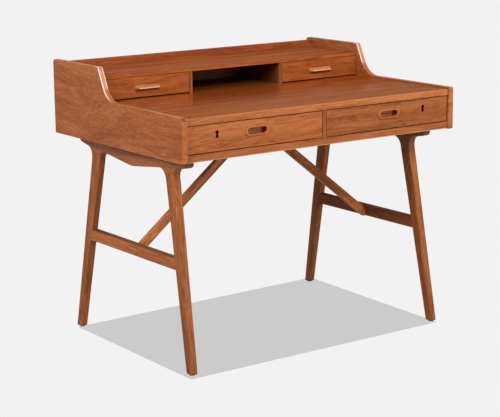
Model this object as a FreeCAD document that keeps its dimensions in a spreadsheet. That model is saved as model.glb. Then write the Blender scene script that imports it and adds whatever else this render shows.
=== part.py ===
import FreeCAD, Part
import math
import os

import Sketcher
from FreeCAD import Rotation, Vector

# A teak writing desk with a low gallery, two large locking drawers, two small
# drawers and a pair of splayed leg frames. The origin is on the floor under the
# middle of the case: +X to the sitter's right, +Y to the back, +Z up.

# Driving dimensions in millimetres; what rests or seats on a piece is worked out
SIZES = {
    # Case
    "case_width": 982,
    "case_depth": 708,
    "surface_height": 730,
    "gallery_rise": 103,
    "case_height": 120,
    "panel_thickness": 18,
    "panel_overhang": 1.5,
    "lip_rise": 6,
    "front_setback": 6.5,
    "top_thickness": 18,
    "bottom_thickness": 21,
    "lipping_depth": 8,
    "back_inset": 18,
    "back_thickness": 16,
    "back_drop": 6.5,
    "partition_thickness": 12,
    # Side panel outline
    "crest_run": 266.5,
    "sweep_run": 46.6,
    "sweep_radius": 71,
    "crest_radius": 9,
    "corner_radius": 6,
    "panel_arris": 2.5,
    "board_arris": 2,
    "fine_arris": 1,
    # Gallery
    "gallery_depth": 232,
    "gallery_opening": 64.5,
    "shelf_thickness": 10,
    "divider_thickness": 10,
    "divider_spacing": 336,
    # Large drawers
    "drawer_front_thickness": 20,
    "drawer_side_gap": 2,
    "drawer_inner_gap": 1.2,
    "drawer_top_gap": 1.5,
    "drawer_rear_space": 66,
    "drawer_side_thickness": 12,
    "drawer_side_drop": 13,
    "drawer_box_inset": 1,
    "drawer_bottom_thickness": 5,
    "groove_depth": 5,
    "groove_lift": 8,
    "runner_width": 16,
    "runner_height": 2.2,
    "slide_clearance": 0.3,
    "stop_length": 24,
    "stop_width": 60,
    "stop_height": 30,
    # Oval pulls
    "pull_length": 80,
    "pull_height": 26,
    "pull_projection": 4,
    "pull_rebate": 1,
    "pull_wall": 2.2,
    "pull_end_rim": 6.5,
    "pull_side_rim": 3.8,
    "pull_rim_depth": 3,
    "pull_rise": 6,
    "pull_bead_radius": 1.8,
    # Keyholes and locks
    "keyhole_from_end": 98,
    "keyhole_from_top": 24.3,
    "keyhole_radius": 5.6,
    "keyhole_drop": 15.2,
    "keyhole_waist": 5.4,
    "keyhole_foot": 9.6,
    "lock_width": 40,
    "lock_height": 42,
    "lock_depth": 9,
    "lock_lift": 0.5,
    "bolt_width": 14,
    "bolt_thickness": 4,
    "bolt_length": 18,
    "bolt_clearance": 0.3,
    "bolt_travel": 7,
    "strike_length": 32,
    "strike_width": 12,
    "strike_thickness": 1.2,
    "lock_screw_spread": 28,
    "lock_screw_drop": 28,
    "lock_screw_length": 13,
    "lock_screw_radius": 1.2,
    "lock_screw_head_radius": 2.4,
    "lock_screw_head_height": 1.2,
    "lock_slot_width": 0.6,
    "lock_slot_depth": 0.6,
    # Small drawers
    "small_gap": 1.2,
    "small_lift": 3,
    "small_front_thickness": 14,
    "small_side_thickness": 8,
    "small_side_drop": 18,
    "small_rear_space": 6,
    "small_bottom_thickness": 4,
    "small_groove_depth": 3,
    "small_groove_lift": 5,
    # Lip handles
    "handle_length": 84,
    "handle_taper": 7,
    "handle_projection": 15,
    "handle_rise": 38,
    "handle_root": 17,
    "handle_nose": 2.8,
    "handle_fall": 6.5,
    "handle_arris": 1,
    # Leg frames
    "foot_shift": 4,
    "foot_inset": 43.5,
    "foot_setback": 43.5,
    "foot_width": 24,
    "foot_depth": 25.5,
    "rail_shift": 8,
    "neck_drop": 80,
    "neck_inset": 58.5,
    "neck_setback": 146.1,
    "neck_width": 26,
    "neck_depth": 42,
    "leg_arris": 5,
    "foot_arris": 1.5,
    # Top rails and the seams that part them from the legs
    "seam_drop": 50,
    "horn_setback": 58,
    "horn_drop": 23,
    "horn_radius": 13,
    "horn_bend_radius": 26,
    "rail_drop": 37.5,
    "belly_drop": 59,
    "bend_radius": 34,
    "belly_radius": 120,
    # Stretchers and their tenons
    "stretcher_underside": 288,
    "stretcher_height": 35,
    "stretcher_thickness": 22,
    "stretcher_arris": 3,
    "tenon_thickness": 8,
    "tenon_height": 22,
    "tenon_length": 18,
    # Braces
    "brace_width": 26.5,
    "brace_thickness": 17,
    "brace_arris": 4,
    "brace_top_spread": 34.7,
    "brace_foot_rise": 11,
    # Fasteners
    "screw_radius": 2.2,
    "screw_head_radius": 4,
    "screw_head_height": 3,
    "screw_slot_width": 1,
    "screw_slot_depth": 1.2,
    "screw_bore_clearance": 0.1,
    "rail_screw_length": 40,
    "rail_screw_bite": 14,
    "rail_screw_spacing": 95,
    "brace_screw_length": 42,
    "brace_screw_rise": 20,
    "brace_top_screw_spread": 44,
    "brace_top_screw_length": 30,
    "counterbore_radius": 5,
    "dowel_radius": 5,
    "dowel_length": 40,
    "dowel_spacing": 18,
    "glide_radius": 8,
    "glide_height": 3,
    "nail_radius": 1.2,
    "nail_length": 14,
    # Cutting and matching
    "overrun": 2,
    "match_tolerance": 0.01,
    "stub_waste": 12,
}

doc = FreeCAD.newDocument("writing_desk")
sheet = doc.addObject("Spreadsheet::Sheet", "sizes")
for row, (alias, number) in enumerate(SIZES.items(), start=1):
    sheet.set(f"A{row}", alias)
    sheet.set(f"B{row}", str(number))
    sheet.setAlias(f"B{row}", alias)
doc.recompute()


class Size(float):
    """A length that keeps the sheet formula it was worked out from."""

    def __new__(cls, number, formula=None):
        size = super().__new__(cls, number)
        size.formula = formula if formula is not None else repr(float(number))
        return size

    def joined(self, sign, other, number):
        return Size(number, f"({self.formula} {sign} {Size.of(other).formula})")

    @staticmethod
    def of(value):
        return value if isinstance(value, Size) else Size(value)

    def __add__(self, other):
        return self.joined("+", other, float(self) + float(other))

    def __radd__(self, other):
        return Size.of(other) + self

    def __sub__(self, other):
        return self.joined("-", other, float(self) - float(other))

    def __rsub__(self, other):
        return Size.of(other) - self

    def __mul__(self, other):
        return self.joined("*", other, float(self) * float(other))

    def __rmul__(self, other):
        return self * other

    def __truediv__(self, other):
        return self.joined("/", other, float(self) / float(other))

    def __neg__(self):
        return 0 - self

    def root(self):
        return Size(float(self) ** 0.5, f"sqrt({self.formula})")


class Desk:
    """The driving dimensions by name, each with its place in the sheet."""


for alias, number in SIZES.items():
    setattr(Desk, alias, Size(number, f"sizes.{alias}"))


def bind(thing, path, size):
    """Tie one property to the sheet."""
    thing.setExpression(path, Size.of(size).formula)


# Sketches, prisms, cuts and roundings

PLANE_ROLES = {"x": "YZ_Plane", "y": "XZ_Plane", "z": "XY_Plane"}
QUARTER = math.pi / 2


def sketch_on(body, across, place):
    """A sketch square to one axis; the XZ plane faces -Y, so its offset turns round."""
    plane = next(item for item in body.Origin.OriginFeatures if item.Role == PLANE_ROLES[across])
    sketch = body.newObject("Sketcher::SketchObject", "Outline")
    sketch.AttachmentSupport = [(plane, "")]
    sketch.MapMode = "FlatFace"
    bind(sketch, "AttachmentOffset.Base.z", -Size.of(place) if across == "y" else place)
    return sketch


def pin_point(sketch, geometry, point, x, y):
    """Fix one point of the sketch by its two sizes from the origin."""
    for kind, axis, size in (("DistanceX", -2, x), ("DistanceY", -1, y)):
        if float(size) == 0:
            sketch.addConstraint(Sketcher.Constraint("PointOnObject", geometry, point, axis))
            continue
        number = sketch.addConstraint(
            Sketcher.Constraint(kind, -1, 1, geometry, point, float(size)))
        bind(sketch, f"Constraints[{number}]", size)


def polygon(points):
    """Draws a closed outline whose corners are all fixed."""
    def draw(sketch):
        count = len(points)
        for start, end in zip(points, points[1:] + points[:1]):
            sketch.addGeometry(Part.LineSegment(Vector(*start, 0), Vector(*end, 0)))
        for line in range(count):
            sketch.addConstraint(Sketcher.Constraint("Coincident", line, 2, (line + 1) % count, 1))
            pin_point(sketch, line, 1, *points[line])
    return draw


def disc(x, y, radius):
    """Draws a circle."""
    def draw(sketch):
        circle = Part.Circle(Vector(x, y, 0), Vector(0, 0, 1), radius)
        sketch.addGeometry(circle)
        number = sketch.addConstraint(Sketcher.Constraint("Radius", 0, float(radius)))
        bind(sketch, f"Constraints[{number}]", radius)
        pin_point(sketch, 0, 3, x, y)
    return draw


def chain(sketch, pieces, arcs, radius):
    """Closes a smooth outline of lines and equal arcs whose arc centres are fixed."""
    for first in range(pieces):
        second = (first + 1) % pieces
        sketch.addConstraint(Sketcher.Constraint("Tangent", first, 2, second, 1))
    numbers = list(arcs)
    for other in numbers[1:]:
        sketch.addConstraint(Sketcher.Constraint("Equal", numbers[0], other))
    number = sketch.addConstraint(Sketcher.Constraint("Radius", numbers[0], float(radius)))
    bind(sketch, f"Constraints[{number}]", radius)
    for arc, centre in arcs.items():
        pin_point(sketch, arc, 3, *centre)


def arc_at(sketch, centre, radius, quarter, quarters):
    """Adds an arc that starts at a quarter turn and runs through a number of them."""
    circle = Part.Circle(Vector(*centre, 0), Vector(0, 0, 1), radius)
    sketch.addGeometry(Part.ArcOfCircle(circle, quarter * QUARTER, (quarter + quarters) * QUARTER))


def line_to(sketch, start, end):
    sketch.addGeometry(Part.LineSegment(Vector(*start, 0), Vector(*end, 0)))


def oval(x, y, length, height):
    """Draws a straight slot with half-round ends."""
    def draw(sketch):
        radius = height / 2
        low, high = y - radius, y + radius
        left, right = x - (length / 2 - radius), x + (length / 2 - radius)
        line_to(sketch, (left, low), (right, low))
        arc_at(sketch, (right, y), radius, -1, 2)
        line_to(sketch, (right, high), (left, high))
        arc_at(sketch, (left, y), radius, 1, 2)
        chain(sketch, 4, {1: (right, y), 3: (left, y)}, radius)
    return draw


def rounded_rectangle(x, y, width, depth, radius):
    """Draws a rectangle with rounded corners around its middle."""
    def draw(sketch):
        left, right = x - (width / 2 - radius), x + (width / 2 - radius)
        low, high = y - (depth / 2 - radius), y + (depth / 2 - radius)
        line_to(sketch, (left, low - radius), (right, low - radius))
        arc_at(sketch, (right, low), radius, -1, 1)
        line_to(sketch, (right + radius, low), (right + radius, high))
        arc_at(sketch, (right, high), radius, 0, 1)
        line_to(sketch, (right, high + radius), (left, high + radius))
        arc_at(sketch, (left, high), radius, 1, 1)
        line_to(sketch, (left - radius, high), (left - radius, low))
        arc_at(sketch, (left, low), radius, 2, 1)
        chain(sketch, 8, {1: (right, low), 3: (right, high), 5: (left, high), 7: (left, low)}, radius)
    return draw


def pad(body, across, draw, low, high):
    """Adds a straight prism between two places along one axis."""
    sketch = sketch_on(body, across, high if across == "y" else low)
    draw(sketch)
    feature = body.newObject("PartDesign::Pad", "Pad")
    feature.Profile = sketch
    bind(feature, "Length", high - low)


def cut(body, across, draw, low, high):
    """Takes a straight prism away and makes sure that wood went with it."""
    doc.recompute()
    before = body.Shape.Volume
    sketch = sketch_on(body, across, low if across == "y" else high)
    draw(sketch)
    feature = body.newObject("PartDesign::Pocket", "Pocket")
    feature.Profile = sketch
    bind(feature, "Length", high - low)
    doc.recompute()
    if not before > body.Shape.Volume > 0:
        raise RuntimeError(f"a cut in {body.Label} takes nothing away")


def new_body(label):
    body = doc.addObject("PartDesign::Body", label)
    body.Label = label
    return body


def prism(label, across, points, low, high):
    body = new_body(label)
    pad(body, across, polygon(points), low, high)
    return body


def rectangle(left, right, low, high):
    return [(left, low), (right, low), (right, high), (left, high)]


def block(label, x, y, z):
    """A straight board between two places on each axis."""
    return prism(label, "z", rectangle(*x, *y), *z)


def edges_where(body, wanted):
    """The names of the body's edges that pass a test on their end points."""
    doc.recompute()
    names = []
    for number, edge in enumerate(body.Shape.Edges, start=1):
        if wanted([vertex.Point for vertex in edge.Vertexes], edge):
            names.append(f"Edge{number}")
    return names


def round_over(body, radius, wanted):
    """Rounds every edge that passes the test."""
    names = edges_where(body, wanted)
    if not names:
        raise RuntimeError(f"no edge to round in {body.Label}")
    shaped = body.Tip
    feature = body.newObject("PartDesign::Fillet", "Rounding")
    feature.Base = (shaped, names)
    bind(feature, "Radius", radius)
    doc.recompute()
    if "Invalid" in feature.State or not body.Shape.isValid():
        raise RuntimeError(f"a rounding in {body.Label} failed")


def in_plane(axis, place):
    """Edges that lie in one plane square to an axis."""
    index = "xyz".index(axis)
    def wanted(ends, edge):
        middle = edge.valueAt((edge.FirstParameter + edge.LastParameter) / 2)
        return all(abs(point[index] - place) < Desk.match_tolerance for point in [*ends, middle])
    return wanted


def at_corners(across, corners):
    """Edges that run along one axis through any of the given corners."""
    first, second = [index for index in range(3) if "xyz"[index] != across]
    def wanted(ends, edge):
        return any(all(abs(point[first] - corner[0]) < Desk.match_tolerance
                       and abs(point[second] - corner[1]) < Desk.match_tolerance
                       for point in ends) for corner in corners)
    return wanted


def both(*tests):
    return lambda ends, edge: all(test(ends, edge) for test in tests)


def either(*tests):
    return lambda ends, edge: any(test(ends, edge) for test in tests)


# Round tools and fasteners made of primitives

TURNS = {"+z": Rotation(), "-z": Rotation(Vector(1, 0, 0), 180),
         "+x": Rotation(Vector(0, 1, 0), 90), "-x": Rotation(Vector(0, 1, 0), -90),
         "+y": Rotation(Vector(1, 0, 0), -90), "-y": Rotation(Vector(1, 0, 0), 90)}


def stand(thing, place, direction="+z"):
    """Puts a thing that was made along +Z at its place, turned to its direction."""
    thing.Placement.Rotation = TURNS[direction]
    for axis, size in zip("xyz", place):
        bind(thing, f"Placement.Base.{axis}", size)


def cylinder(label, radius, height, start=0):
    thing = doc.addObject("Part::Cylinder", label)
    bind(thing, "Radius", radius)
    bind(thing, "Height", height)
    bind(thing, "Placement.Base.z", start)
    return thing


def cuboid(label, x, y, z):
    """A plain block between two places on each axis."""
    thing = doc.addObject("Part::Box", label)
    for name, axis, (low, high) in zip(("Length", "Width", "Height"), "xyz", (x, y, z)):
        bind(thing, name, high - low)
        bind(thing, f"Placement.Base.{axis}", low)
    return thing


def fused(label, *pieces):
    thing = doc.addObject("Part::MultiFuse", label)
    thing.Shapes = list(pieces)
    return thing


def taken_from(label, base, tool):
    thing = doc.addObject("Part::Cut", label)
    thing.Base = base
    thing.Tool = tool
    return thing


def group(label, pieces):
    """Identical small pieces that share one file."""
    thing = doc.addObject("Part::Compound", label)
    thing.Label = label
    thing.Links = pieces
    return thing


def slotted_screw(label, place, direction, length, shank, head, slot):
    """A screw with a flat slotted head whose top is at its place; shank is a radius,
    head a radius and a height, slot a width and a depth."""
    blank = fused(f"{label}_blank", cylinder(f"{label}_head", *head),
                  cylinder(f"{label}_shank", shank, length))
    reach, half_slot = head[0] + Desk.overrun, slot[0] / 2
    groove = cuboid(f"{label}_slot", (-reach, reach), (-half_slot, half_slot), (-Desk.overrun, slot[1]))
    screw = taken_from(label, blank, groove)
    stand(screw, place, direction)
    return screw


def wood_screw(label, place, direction, length):
    return slotted_screw(label, place, direction, length, Desk.screw_radius,
                         (Desk.screw_head_radius, Desk.screw_head_height),
                         (Desk.screw_slot_width, Desk.screw_slot_depth))


# Places that several pieces share

half_width = Desk.case_width / 2
half_depth = Desk.case_depth / 2
inner_half = half_width - Desk.panel_thickness
case_underside = Desk.surface_height - Desk.case_height
desk_height = Desk.surface_height + Desk.gallery_rise
front_plane = Desk.front_setback - half_depth
back_face = half_depth - Desk.back_inset
back_front = back_face - Desk.back_thickness
board_front = front_plane + Desk.lipping_depth
top_underside = Desk.surface_height - Desk.top_thickness
case_floor = case_underside + Desk.bottom_thickness
half_partition = Desk.partition_thickness / 2
gallery_front = back_front - Desk.gallery_depth
shelf_underside = Desk.surface_height + Desk.gallery_opening
divider_place = Desk.divider_spacing / 2
divider_half = Desk.divider_thickness / 2

runner_top = case_floor + Desk.runner_height
drawer_low = runner_top + Desk.slide_clearance
drawer_high = top_underside - Desk.drawer_top_gap
pull_height = (drawer_low + drawer_high) / 2 + Desk.pull_rise
keyhole_height = drawer_high - Desk.keyhole_from_top
keyhole_place = inner_half - Desk.drawer_side_gap - Desk.keyhole_from_end
drawer_back_end = back_front - Desk.drawer_rear_space
lock_back = front_plane + Desk.drawer_front_thickness
lock_front = lock_back - Desk.lock_depth
bolt_middle = (lock_front + lock_back) / 2

SIDES = {"left": -1, "right": 1}


def span(side, inner, outer):
    """Two places on X, in rising order, on one side of the middle."""
    return (inner, outer) if side > 0 else (-outer, -inner)


# Leg frame lines: straight from the floor to the neck, where the rail's curve begins

neck_height = case_underside - Desk.neck_drop
seam_height = case_underside - Desk.seam_drop
foot_spread = half_width - Desk.foot_inset
foot_reach = half_depth - Desk.foot_setback
neck_spread = half_width - Desk.neck_inset
neck_reach = half_depth - Desk.neck_setback
horn_reach = half_depth - Desk.horn_setback
saw_reach = neck_reach - Desk.neck_depth / 2 - Desk.bend_radius


def along_leg(foot, neck, height):
    return foot + (neck - foot) * (height / neck_height)


def leg_middle(height):
    return along_leg(foot_reach, neck_reach, height)


def leg_half_depth(height):
    return along_leg(Desk.foot_depth, Desk.neck_depth, height) / 2


def frame_plane(height):
    return along_leg(foot_spread, neck_spread, height)


def frame_middle(height):
    """The frame's middle on Y; the feet stand a little further back than the rail."""
    return -along_leg(Desk.foot_shift, Desk.rail_shift, height)


def y_on_frame(end, reach, height):
    """A place in front (-1) or behind (+1) of the frame's middle at a height."""
    return frame_middle(height) + (reach if end > 0 else -reach)


stretcher_top = Desk.stretcher_underside + Desk.stretcher_height
stretcher_middle = (Desk.stretcher_underside + stretcher_top) / 2
stretcher_plane = frame_plane(stretcher_middle)
stretcher_half = Desk.stretcher_thickness / 2
brace_middle = frame_middle(stretcher_middle)
screw_bore = Desk.screw_radius + Desk.screw_bore_clearance
brace_face = stretcher_plane - stretcher_half
brace_foot_height = Desk.stretcher_underside + Desk.brace_foot_rise
brace_screw_height = Desk.stretcher_underside + Desk.brace_screw_rise
rail_screw_head = case_underside + Desk.rail_screw_bite - Desk.rail_screw_length
brace_screw_head = case_underside + Desk.rail_screw_bite - Desk.brace_top_screw_length
rail_screw_places = [spacing * Desk.rail_screw_spacing - Desk.rail_shift for spacing in (-1, 0, 1)]


# Case

def side_panel(name, side):
    """End of the case: low lip at the front, swept up to the gallery at the back."""
    low = case_underside - Desk.panel_overhang
    lip = Desk.surface_height + Desk.lip_rise
    crest = half_depth - Desk.crest_run
    corners = [(-half_depth, low), (half_depth, low), (half_depth, desk_height),
               (crest, desk_height), (crest - Desk.sweep_run, lip), (-half_depth, lip)]
    faces = span(side, inner_half, half_width)
    body = prism(f"side_panel_{name}", "x", corners, *faces)
    round_over(body, Desk.sweep_radius, at_corners("x", [corners[4]]))
    round_over(body, Desk.crest_radius, at_corners("x", [corners[2], corners[3]]))
    round_over(body, Desk.corner_radius, at_corners("x", [corners[0], corners[1], corners[5]]))
    round_over(body, Desk.panel_arris, either(in_plane("x", faces[0]), in_plane("x", faces[1])))
    return body


def writing_top():
    """Veneered board between the side panels, with the mortises of the two bolts."""
    body = block("writing_top", (-inner_half, inner_half), (board_front, back_front),
                 (top_underside, Desk.surface_height))
    half_bolt = Desk.bolt_width / 2 + Desk.bolt_clearance
    half_thick = Desk.bolt_thickness / 2 + Desk.bolt_clearance
    mortise = Desk.bolt_travel + Desk.bolt_clearance
    for side in SIDES.values():
        middle = side * keyhole_place
        recess = rectangle(middle - Desk.strike_length / 2, middle + Desk.strike_length / 2,
                           bolt_middle - Desk.strike_width / 2, bolt_middle + Desk.strike_width / 2)
        cut(body, "z", polygon(recess), top_underside, top_underside + Desk.strike_thickness)
        pocket = rectangle(middle - half_bolt, middle + half_bolt,
                           bolt_middle - half_thick, bolt_middle + half_thick)
        cut(body, "z", polygon(pocket), top_underside, top_underside + mortise)
    return body


def front_lipping(label, low, high, outer_edge):
    """Solid strip glued to a board's front edge, its outer arris softened."""
    body = block(label, (-inner_half, inner_half), (front_plane, board_front), (low, high))
    round_over(body, Desk.board_arris, at_corners("x", [(front_plane, outer_edge)]))
    return body


def case_bottom():
    """Board under the drawers, drilled for the screws of rails and braces."""
    body = block("case_bottom", (-inner_half, inner_half), (board_front, back_front),
                 (case_underside, case_floor))
    bite = case_underside + Desk.rail_screw_bite
    for side in SIDES.values():
        for place in rail_screw_places:
            cut(body, "z", disc(side * neck_spread, place, screw_bore), case_underside, bite)
        hole = disc(side * Desk.brace_top_screw_spread, brace_middle, screw_bore)
        cut(body, "z", hole, case_underside, bite)
    return body


def back_panel():
    top = desk_height - Desk.back_drop
    body = block("back_panel", (-inner_half, inner_half), (back_front, back_face),
                 (case_underside, top))
    round_over(body, Desk.board_arris, at_corners("x", [(back_front, top), (back_face, top)]))
    return body


def centre_partition():
    body = block("centre_partition", (-half_partition, half_partition), (front_plane, back_front),
                 (case_floor, top_underside))
    fronts = [(-half_partition, front_plane), (half_partition, front_plane)]
    round_over(body, Desk.fine_arris, at_corners("z", fronts))
    return body


def drawer_runners(name, side):
    """Two waxed strips that one large drawer's sides ride on."""
    outer = inner_half - Desk.runner_width
    strips = [cuboid(f"runner_{name}_{part}", span(side, inner, inner + Desk.runner_width),
                     (board_front, back_front), (case_floor, runner_top))
              for part, inner in (("inner", half_partition), ("outer", outer))]
    return group(f"{name}_drawer_runners", strips)


def drawer_stops():
    """Blocks behind the large drawers that set how far they close."""
    blocks = []
    start = drawer_back_end + Desk.slide_clearance
    for name, side in SIDES.items():
        middle = side * (half_partition + inner_half) / 2
        half_stop = Desk.stop_width / 2
        blocks.append(cuboid(f"stop_{name}", (middle - half_stop, middle + half_stop),
                             (start, start + Desk.stop_length),
                             (case_floor, case_floor + Desk.stop_height)))
    return group("drawer_stops", blocks)


def gallery_shelf():
    top = shelf_underside + Desk.shelf_thickness
    body = block("gallery_shelf", (-inner_half, inner_half), (gallery_front, back_front),
                 (shelf_underside, top))
    round_over(body, Desk.board_arris, at_corners("x", [(gallery_front, top)]))
    round_over(body, Desk.fine_arris, at_corners("x", [(gallery_front, shelf_underside)]))
    return body


def gallery_divider(name, side):
    faces = span(side, divider_place - divider_half, divider_place + divider_half)
    body = block(f"gallery_divider_{name}", faces, (gallery_front, back_front),
                 (Desk.surface_height, shelf_underside))
    round_over(body, Desk.fine_arris, at_corners("z", [(face, gallery_front) for face in faces]))
    return body


# Large drawers

def large_drawer(name, side):
    """A locking drawer: five boards, oval pull, lock with its bolt, and screws."""
    left, right = span(side, half_partition + Desk.drawer_inner_gap, inner_half - Desk.drawer_side_gap)
    box_left, box_right = left + Desk.drawer_box_inset, right - Desk.drawer_box_inset
    box_top = drawer_high - Desk.drawer_side_drop
    panel_low = drawer_low + Desk.groove_lift
    panel_high = panel_low + Desk.drawer_bottom_thickness
    inner_left = box_left + Desk.drawer_side_thickness
    inner_right = box_right - Desk.drawer_side_thickness
    groove_left, groove_right = inner_left - Desk.groove_depth, inner_right + Desk.groove_depth
    groove_front = lock_back - Desk.groove_depth
    back_start = drawer_back_end - Desk.drawer_side_thickness
    middle = (left + right) / 2
    keyhole = side * keyhole_place
    lock_top = drawer_high - Desk.lock_lift
    lock_low = lock_top - Desk.lock_height
    half_lock = Desk.lock_width / 2
    stem = f"{name}_drawer"

    front = block(f"{stem}_front", (left, right), (front_plane, lock_back), (drawer_low, drawer_high))
    round_over(front, Desk.fine_arris, in_plane("y", front_plane))
    hole_length = Desk.pull_length - 2 * Desk.pull_rebate
    hole_height = Desk.pull_height - 2 * Desk.pull_rebate
    cut(front, "y", oval(middle, pull_height, hole_length, hole_height),
        front_plane - Desk.overrun, lock_back)
    cut(front, "y", disc(keyhole, keyhole_height, Desk.keyhole_radius),
        front_plane - Desk.overrun, lock_back)
    foot_height = keyhole_height - Desk.keyhole_drop
    waist, foot = Desk.keyhole_waist / 2, Desk.keyhole_foot / 2
    skirt = [(keyhole - foot, foot_height), (keyhole + foot, foot_height),
             (keyhole + waist, keyhole_height), (keyhole - waist, keyhole_height)]
    cut(front, "y", polygon(skirt), front_plane - Desk.overrun, lock_back)
    lock_seat = rectangle(keyhole - half_lock, keyhole + half_lock, lock_low, drawer_high + Desk.overrun)
    cut(front, "y", polygon(lock_seat), lock_front, lock_back + Desk.overrun)
    groove = rectangle(groove_left, groove_right, panel_low, panel_high)
    cut(front, "y", polygon(groove), groove_front, lock_back)
    seat_screws = [(keyhole + across * Desk.lock_screw_spread / 2, lock_low + height)
                   for across in (-1, 1)
                   for height in ((Desk.lock_height - Desk.lock_screw_drop) / 2,
                                  (Desk.lock_height + Desk.lock_screw_drop) / 2)]
    screw_tip = lock_back - Desk.lock_screw_length
    lock_bore = Desk.lock_screw_radius + Desk.screw_bore_clearance
    for place in seat_screws:
        cut(front, "y", disc(*place, lock_bore), screw_tip, lock_front)

    for part, faces in (("left", (box_left, inner_left)), ("right", (inner_right, box_right))):
        board = block(f"{stem}_{part}_side", faces, (lock_back, drawer_back_end),
                      (drawer_low, box_top))
        groove_span = (groove_left, inner_left) if part == "left" else (inner_right, groove_right)
        cut(board, "z", polygon(rectangle(*groove_span, lock_back, drawer_back_end)),
            panel_low, panel_high)
        round_over(board, Desk.fine_arris, at_corners("y", [(face, box_top) for face in faces]))

    back = block(f"{stem}_back", (inner_left, inner_right), (back_start, drawer_back_end),
                 (panel_high, box_top))
    round_over(back, Desk.fine_arris,
               at_corners("x", [(back_start, box_top), (drawer_back_end, box_top)]))
    block(f"{stem}_bottom", (groove_left, groove_right), (groove_front, drawer_back_end),
          (panel_low, panel_high))

    oval_pull(f"{stem}_pull", middle, hole_length, hole_height)
    drawer_lock(stem, keyhole, lock_low, lock_top, seat_screws)


def oval_pull(label, middle, cup_length, cup_height):
    """Turned-out teak cup with a rounded lip, let into the drawer front."""
    lip_face = front_plane - Desk.pull_projection
    hollow_front = lip_face + Desk.pull_rim_depth
    body = new_body(label)
    pad(body, "y", oval(middle, pull_height, cup_length, cup_height), front_plane, lock_back)
    pad(body, "y", oval(middle, pull_height, Desk.pull_length, Desk.pull_height), lip_face, front_plane)
    cut(body, "y", oval(middle, pull_height, cup_length - 2 * Desk.pull_wall,
                        cup_height - 2 * Desk.pull_wall),
        hollow_front, lock_back - Desk.pull_wall)
    cut(body, "y", oval(middle, pull_height, Desk.pull_length - 2 * Desk.pull_end_rim,
                        Desk.pull_height - 2 * Desk.pull_side_rim),
        lip_face - Desk.overrun, hollow_front + Desk.overrun)
    round_over(body, Desk.pull_bead_radius, in_plane("y", lip_face))
    return body


def drawer_lock(stem, keyhole, low, top, screw_places):
    """Steel drawer lock in the back of the front: case, sliding bolt and four screws."""
    half_lock = Desk.lock_width / 2
    half_bolt = Desk.bolt_width / 2
    half_thick = Desk.bolt_thickness / 2
    clearance = Desk.bolt_clearance
    case = block(f"{stem}_lock_case", (keyhole - half_lock, keyhole + half_lock),
                 (lock_front, lock_back), (low, top))
    bolt_low = top - Desk.bolt_length
    slot = rectangle(keyhole - half_bolt - clearance, keyhole + half_bolt + clearance,
                     bolt_middle - half_thick - clearance, bolt_middle + half_thick + clearance)
    cut(case, "z", polygon(slot), bolt_low - clearance, top + Desk.overrun)
    bore = Desk.lock_screw_radius + Desk.screw_bore_clearance
    head_bore = Desk.lock_screw_head_radius + Desk.screw_bore_clearance
    head_depth = Desk.lock_screw_head_height
    for place in screw_places:
        cut(case, "y", disc(*place, bore), lock_front, lock_back)
        cut(case, "y", disc(*place, head_bore), lock_back - head_depth, lock_back)
    block(f"{stem}_lock_bolt", (keyhole - half_bolt, keyhole + half_bolt),
          (bolt_middle - half_thick, bolt_middle + half_thick), (bolt_low, top))
    screws = [slotted_screw(f"{stem}_lock_screw_{number}", (place[0], lock_back, place[1]), "-y",
                            Desk.lock_screw_length, Desk.lock_screw_radius,
                            (Desk.lock_screw_head_radius, head_depth),
                            (Desk.lock_slot_width, Desk.lock_slot_depth))
              for number, place in enumerate(screw_places)]
    group(f"{stem}_lock_screws", screws)


def lock_strikes():
    """Brass plates let into the underside of the top, slotted for the bolts."""
    plates = []
    for name, side in SIDES.items():
        middle = side * keyhole_place
        plate = block(f"strike_{name}",
                      (middle - Desk.strike_length / 2, middle + Desk.strike_length / 2),
                      (bolt_middle - Desk.strike_width / 2, bolt_middle + Desk.strike_width / 2),
                      (top_underside, top_underside + Desk.strike_thickness))
        half_slot = Desk.bolt_width / 2 + Desk.bolt_clearance
        half_thick = Desk.bolt_thickness / 2 + Desk.bolt_clearance
        slot = rectangle(middle - half_slot, middle + half_slot,
                         bolt_middle - half_thick, bolt_middle + half_thick)
        cut(plate, "z", polygon(slot), top_underside - Desk.overrun, top_underside + Desk.overrun)
        plates.append(plate)
    return group("lock_strikes", plates)


# Small drawers

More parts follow.
